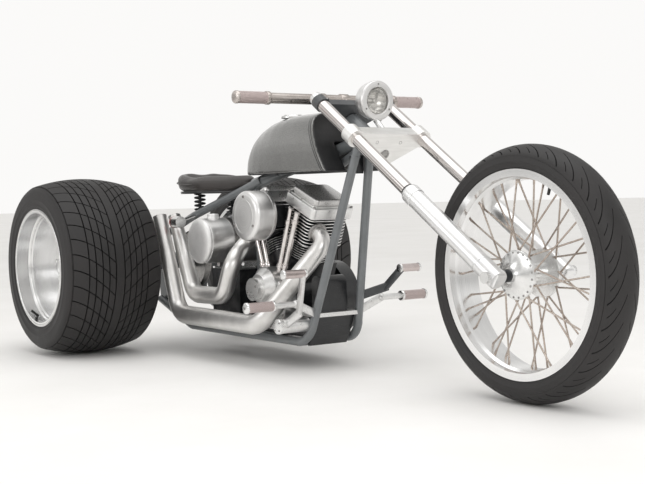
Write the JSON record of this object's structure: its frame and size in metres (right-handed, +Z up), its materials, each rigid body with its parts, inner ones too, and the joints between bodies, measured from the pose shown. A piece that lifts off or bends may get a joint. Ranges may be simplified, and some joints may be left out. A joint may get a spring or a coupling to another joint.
{
  "type": "motorized trike",
  "caption": "Low chopper-style motorized trike: raked spoked front wheel, V-twin engine in a rigid tube frame, two very wide rear wheels on a straight axle.",
  "frame": {"origin": "on the ground, under the middle of the overall length and width", "axes": "+X forwards to the front wheel, +Y to the vehicle's left, +Z up"},
  "size_m": [2.572, 1.225, 0.917],
  "materials": {
    "frame_paint": "satin blue-grey paint",
    "tank_paint": "gloss gunmetal paint",
    "leather": "soft black-brown leather",
    "dark_steel": "dark oiled steel",
    "belt_rubber": "matt",
    "steel": "turned",
    "spun_aluminium": "spun, satin",
    "black_enamel": "black enamel",
    "cast_aluminium": "machined, satin",
    "polished_aluminium": "polished",
    "chrome": "mirror",
    "exhaust_metal": "satin warm-grey coating",
    "stainless": "brushed",
    "knurled_metal": "knurled",
    "lens": "clear",
    "tyre": "dark rubber"
  },
  "bodies": {
    "chassis": {"backbone": "frame_paint", "downtubes": "frame_paint", "lower_rails": "frame_paint", "top_rails": "frame_paint", "cross_members": "frame_paint", "rear_axle_housing": "frame_paint", "rear_pulley": "steel", "drive_belt": "belt_rubber", "fuel_tank": "tank_paint", "seat_pad": "leather", "seat_springs": "dark_steel", "oil_tank": "spun_aluminium", "crankcase": "black_enamel", "cylinders": "black_enamel", "rocker_boxes": "cast_aluminium", "pushrod_tubes": "chrome", "cam_cover": "polished_aluminium", "air_cleaner": "spun_aluminium", "carburettor": "dark_steel", "front_exhaust": "exhaust_metal", "rear_exhaust": "exhaust_metal", "primary_cover": "black_enamel", "gearbox": "dark_steel", "front_block": "black_enamel", "front_strut": "cast_aluminium", "belly_pan": "black_enamel", "ignition_coil": "black_enamel", "tail_lamps": "polished_aluminium", "brake_pedal": "cast_aluminium", "shift_lever": "cast_aluminium", "foot_pegs": "knurled_metal"},
    "steering": {"fork_tubes": "chrome", "fork_legs": "cast_aluminium", "upper_clamp": "tank_paint", "lower_clamp": "cast_aluminium", "handlebar": "stainless", "grips": "knurled_metal", "headlight": "spun_aluminium", "headlight_lens": "lens", "front_axle": "steel"},
    "front_wheel": {"front_hub": "polished_aluminium", "front_spokes": "stainless", "front_rim": "polished_aluminium", "front_tyre": "tyre"},
    "rear_wheel_right": {"rear_rim_right": "spun_aluminium", "rear_tyre_right": "tyre"},
    "rear_wheel_left": {"rear_rim_left": "spun_aluminium", "rear_tyre_left": "tyre"}
  },
  "joints": [
    {"name": "steering_turn", "type": "hinge", "parent": "chassis", "child": "steering", "pos_m": [0.22486, 0, 0.75372], "axis": [-0.8339, 0, 0.5519], "range_deg": [-28, 28]},
    {"name": "front_wheel_spin", "type": "hinge", "parent": "steering", "child": "front_wheel", "pos_m": [0.939, 0, 0.347], "axis": [0, 1, 0], "continuous": true},
    {"name": "rear_wheel_right_spin", "type": "hinge", "parent": "chassis", "child": "rear_wheel_right", "pos_m": [-0.963, -0.43, 0.323], "axis": [0, 1, 0], "continuous": true},
    {"name": "rear_wheel_left_spin", "type": "hinge", "parent": "chassis", "child": "rear_wheel_left", "pos_m": [-0.963, 0.43, 0.323], "axis": [0, 1, 0], "continuous": true}
  ]
}
